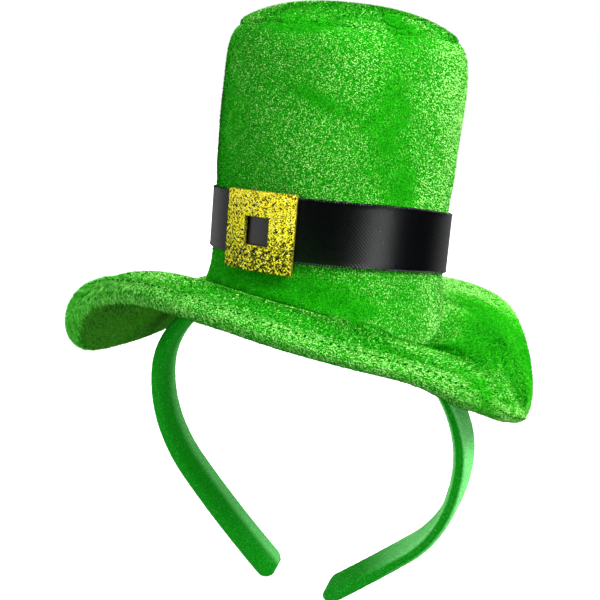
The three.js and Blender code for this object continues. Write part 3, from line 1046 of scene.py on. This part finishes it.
def make_stitches(ring, normals, spacing=2.5, size=(1.3, 0.35, 0.6)):
    """A row of stitches round the brim, on its hem's roll."""
    steps = np.linalg.norm(np.roll(ring, -1, axis=0) - ring, axis=1)
    length = np.concatenate([[0], np.cumsum(steps)])
    at = np.arange(0, length[-1] - spacing / 2, spacing)
    middle, normal = (
        np.stack([np.interp(at, length, np.append(values[:, k], values[0, k])) for k in range(3)], axis=1)
        for values in (ring, normals)
    )
    along = unit(np.roll(middle, -1, axis=0) - np.roll(middle, 1, axis=0))
    slanted = unit(along + STITCH_SLANT * np.cross(normal, along))
    mesh = knots("hem_stitches", middle + normal * STITCH_LIFT, slanted, unit(normal), size)
    place("hem_stitches", mesh, stitch_thread(), HAT)


def knots(name, middle, along, normal, size):
    """A mesh of small four-sided knots of thread at given places; size is along, out and across."""
    across = np.cross(normal, along)
    long, high, wide = size
    corners = [middle - along * long / 2, middle - across * wide / 2, middle + along * long / 2,
               middle + across * wide / 2, middle + normal * high]
    faces = np.array([(0, 1, 4), (1, 2, 4), (2, 3, 4), (3, 0, 4)])
    triangles = faces[None] + np.arange(len(middle))[:, None, None] * len(corners)
    return mesh_from(name, np.stack(corners, axis=1).reshape(-1, 3), triangles.reshape(-1, 3))


def along_band(points):
    """The band's nap lies down its legs."""
    return np.array([0, 0.2, -1.0]) + 0 * points


def make_band():
    grid = band_grid()
    ends = close_ends(grid)
    cover = grid_piece("headband_cover", ends, False, band_cloth(), ROW)
    colour_attribute(cover.data, band_tint(ends.reshape(-1, 3), grid_normals(ends).reshape(-1, 3)))
    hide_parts("headband")
    nap = pile_material("band_nap", 0.1, BAND_SHEEN)
    pile_piece("band_nap", grid, BAND_BLADES, along_band, BAND_BLADE, band_tint, nap, ROW)


def make_ribbon():
    inner = CROWN_RADIUS - CROWN_ROWS[0][1] + GAP
    profile = [(0, 0), (RIBBON_THICK * 0.8, 0), (RIBBON_THICK, RIBBON_ROUND)]
    profile += [(RIBBON_THICK, RIBBON_WIDTH * k / 10) for k in range(1, 10)]
    profile += [(depth, RIBBON_WIDTH - height) for depth, height in profile[2::-1]]
    around = 240
    angle = round_angles(around)
    sag = humps(RIBBON_SAG, angle)
    grid = np.array([polar(inner + depth, angle, height + sag) for depth, height in profile])
    ribbon = grid_piece("ribbon_satin", grid, True, satin(), HAT)
    layer = ribbon.data.uv_layers.new(name="cloth")
    corners = np.empty(len(ribbon.data.loops), np.int32)
    ribbon.data.loops.foreach_get("vertex_index", corners)
    ring, step = corners // around, corners % around
    last = np.arange(len(corners)) // 4 % around == around - 1
    step = np.where(last & (step == 0), around, step)
    heights = np.array([height for _, height in profile])[ring]
    girth = 2 * math.pi * inner
    places = np.stack([step / around * girth, heights], axis=1)
    layer.data.foreach_set("uv", places.astype(np.float32).ravel())
    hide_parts("ribbon_band")
    make_selvedge(inner + RIBBON_THICK)


def make_selvedge(radius, spacing=0.95, size=(0.6, 0.22, 0.6)):
    """The ribbon's woven edges: a row of small thread loops along each."""
    angle = round_angles(round(2 * math.pi * radius / spacing))
    sag = humps(RIBBON_SAG, angle)
    rows = [polar(radius, angle, level + sag) for level in (SELVEDGE_IN, RIBBON_WIDTH - SELVEDGE_IN)]
    middle = np.concatenate(rows)
    normal = away_way(middle)
    mesh = knots("ribbon_selvedge", middle, round_way(middle), normal, size)
    place("ribbon_selvedge", mesh, selvedge(), HAT)


def buckle_point(across, up, depth):
    back = CROWN_RADIUS - CROWN_ROWS[0][1] + RIBBON_THICK + 2 * GAP
    return polar(back + depth, across / back, BUCKLE_MIDDLE + up)


def frame_ring(width, height, per_side=14):
    """Points round a rectangle from a corner, as (across, up)."""
    corners = np.array([(-0.5, -0.5), (0.5, -0.5), (0.5, 0.5), (-0.5, 0.5)])
    share = (np.arange(per_side) / per_side)[:, None]
    sides = [corners[k] + (corners[(k + 1) % 4] - corners[k]) * share for k in range(4)]
    return np.concatenate(sides) * np.array([width, height])


def make_buckle():
    outline = frame_ring(BUCKLE_WIDTH, BUCKLE_HEIGHT)
    hole = frame_ring(WINDOW, WINDOW)
    steps = np.linspace(0, 1, 6)
    front = [buckle_point(*(outline + (hole - outline) * s).T, BUCKLE_THICK) for s in steps]
    back = [buckle_point(*(outline + (hole - outline) * s).T, 0) for s in steps[::-1]]
    sheet = grid_piece("buckle_sheet", np.array(front + back), True, glitter_sheet(), HAT)
    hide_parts("buckle")
    make_flakes()


def make_flakes():
    """Glitter: small tilted six-sided flakes, thinner and duller in the lower half, a few with a painted
    glint.
    """
    rng = np.random.default_rng(SEED + 31)
    size = np.array([BUCKLE_WIDTH, BUCKLE_HEIGHT]) - 2 * FLAKE_MARGIN
    spots = rng.uniform(-0.5, 0.5, (FLAKE_COUNT * 2, 2)) * size
    spots = spots[np.abs(spots).max(axis=1) > WINDOW / 2 + 0.2][:FLAKE_COUNT]
    low = smooth(2, -9, spots[:, 1])
    keep = rng.random(len(spots)) > FLAKE_LOSS * low
    spots, low = spots[keep], low[keep]
    total = len(spots)
    middle = buckle_point(spots[:, 0], spots[:, 1], BUCKLE_THICK + 0.05)
    normal = unit(away_way(middle) + FLAKE_TILT * rng.normal(size=(total, 3)))
    first = unit(np.cross(normal, rng.normal(size=(total, 3))))
    second = np.cross(normal, first)
    radius = FLAKE_SIZE * rng.uniform(0.6, 1.1, (total, 1, 1)) / 2
    turns = np.arange(6) * math.pi / 3
    corners = middle[:, None] + radius * (first[:, None] * np.cos(turns)[None, :, None]
                                          + second[:, None] * np.sin(turns)[None, :, None])
    mesh = mesh_from("buckle_flakes", corners.reshape(-1, 3), np.arange(total * 6).reshape(-1, 6))
    worms = waves(SEED + 32, WORM_SIZE, 32)(middle) + 0.08 * rng.normal(size=total)
    bright = smooth(*WORM_EDGE, worms - LOW_DULLNESS * low)
    colours = shaded(bright * rng.uniform(0.8, 1.1, total), GOLD_GAP, GOLD)
    # a few bright flakes carry a painted glint
    glint = (rng.random(total) < GLINT_SHARE) & (bright > 0.9)
    colours[glint] = GOLD_GLINT
    colour_attribute(mesh, np.repeat(np.clip(colours, 0, 1), 6, axis=0))
    place("buckle_flakes", mesh, glitter_flakes(), HAT)


# The studio

def make_floor():
    low = cad_box[0][2] - FLOOR_DROP
    corners = [(x * FLOOR_REACH, y * FLOOR_REACH, low) for x, y in ((-1, -1), (1, -1), (1, 1), (-1, 1))]
    mesh = bpy.data.meshes.new("floor")
    mesh.from_pydata(corners, [], [(0, 1, 2, 3)])
    floor = new_object("floor", mesh)
    material, _, _, shader = new_material("floor")
    set_inputs(shader, {"Base Color": (0.85, 0.85, 0.85, 1), "Roughness": 0.8})
    set_inputs(shader, {"Emission Color": (1, 1, 1, 1), "Emission Strength": 0.75})
    mesh.materials.append(material)
    floor.visible_diffuse = False
    floor.visible_glossy = False


def combined(nodes, links, operation, first, second):
    """Two values put together by arithmetic, as an output."""
    node = nodes.new("ShaderNodeMath")
    node.operation = operation
    links.new(first, node.inputs[0])
    links.new(second, node.inputs[1])
    return node.outputs["Value"]


def make_world():
    """A white studio that lights the object more from above than from below."""
    world = bpy.data.worlds.new("studio")
    world.use_nodes = True
    nodes, links = world.node_tree.nodes, world.node_tree.links
    background = nodes["Background"]
    background.inputs["Color"].default_value = (1, 1, 1, 1)
    way = nodes.new("ShaderNodeTexCoord")
    split = nodes.new("ShaderNodeSeparateXYZ")
    links.new(way.outputs["Generated"], split.inputs["Vector"])
    limits = {"From Min": -0.5, "From Max": 0.9, "To Min": AMBIENT_LOW, "To Max": AMBIENT_HIGH}
    rise = remapped(nodes, links, split.outputs["Z"], limits)
    seen = nodes.new("ShaderNodeLightPath")
    dimmer = remapped(nodes, links, seen.outputs["Is Glossy Ray"], {"To Min": 1, "To Max": AMBIENT_GLOSS})
    soft = combined(nodes, links, "MULTIPLY", rise, dimmer)
    brightest = combined(nodes, links, "MAXIMUM", seen.outputs["Is Camera Ray"], soft)
    links.new(brightest, background.inputs["Strength"])
    bpy.context.scene.world = world
    bpy.context.scene.view_settings.view_transform = "Standard"


def area_light(name, place_at, aim, size, power):
    light = bpy.data.lights.new(name, "AREA")
    light.shape = "RECTANGLE"
    light.size, light.size_y = size
    light.energy = power
    lamp = new_object(name, light)
    lamp.matrix_world = look_at(place_at, aim, 0)
    lamp.visible_glossy = False
    return lamp


def reflector(name, place_at, aim, size, power):
    """A light that shows only in glossy surfaces, as a white card does."""
    lamp = area_light(name, place_at, aim, size, power)
    lamp.visible_glossy = True
    lamp.visible_diffuse = False


def look_at(place_at, aim, roll):
    """A matrix at a place, looking at a point, in metres, turned by roll degrees about the line of sight."""
    back = unit(np.array(place_at, float) - np.array(aim, float))
    right = unit(np.cross([0, 0, 1], back))
    up = np.cross(back, right)
    turn = math.radians(roll)
    right, up = right * math.cos(turn) + up * math.sin(turn), up * math.cos(turn) - right * math.sin(turn)
    rows = [[*row, at] for row, at in zip(np.stack([right, up, back], axis=1), place_at)]
    return Matrix(rows + [[0, 0, 0, 1]])


def make_camera():
    camera = bpy.data.cameras.new("camera")
    camera.lens = CAMERA_LENS
    camera.sensor_width = 36
    camera.clip_start = 0.01
    eye = new_object("camera", camera)
    eye.matrix_world = look_at([v * MM for v in CAMERA_AT], [v * MM for v in CAMERA_AIM], CAMERA_ROLL)
    bpy.context.scene.camera = eye


make_camera()
make_world()
make_floor()
for name, (place_at, size, power) in LAMPS.items():
    area_light(name, place_at, LAMP_AIM, size, power)
for name, (place_at, size, power) in CARDS.items():
    reflector(name, place_at, CARD_AIM, size, power)
make_band()
make_brim()
make_crown()
make_top()
make_ribbon()
make_buckle()
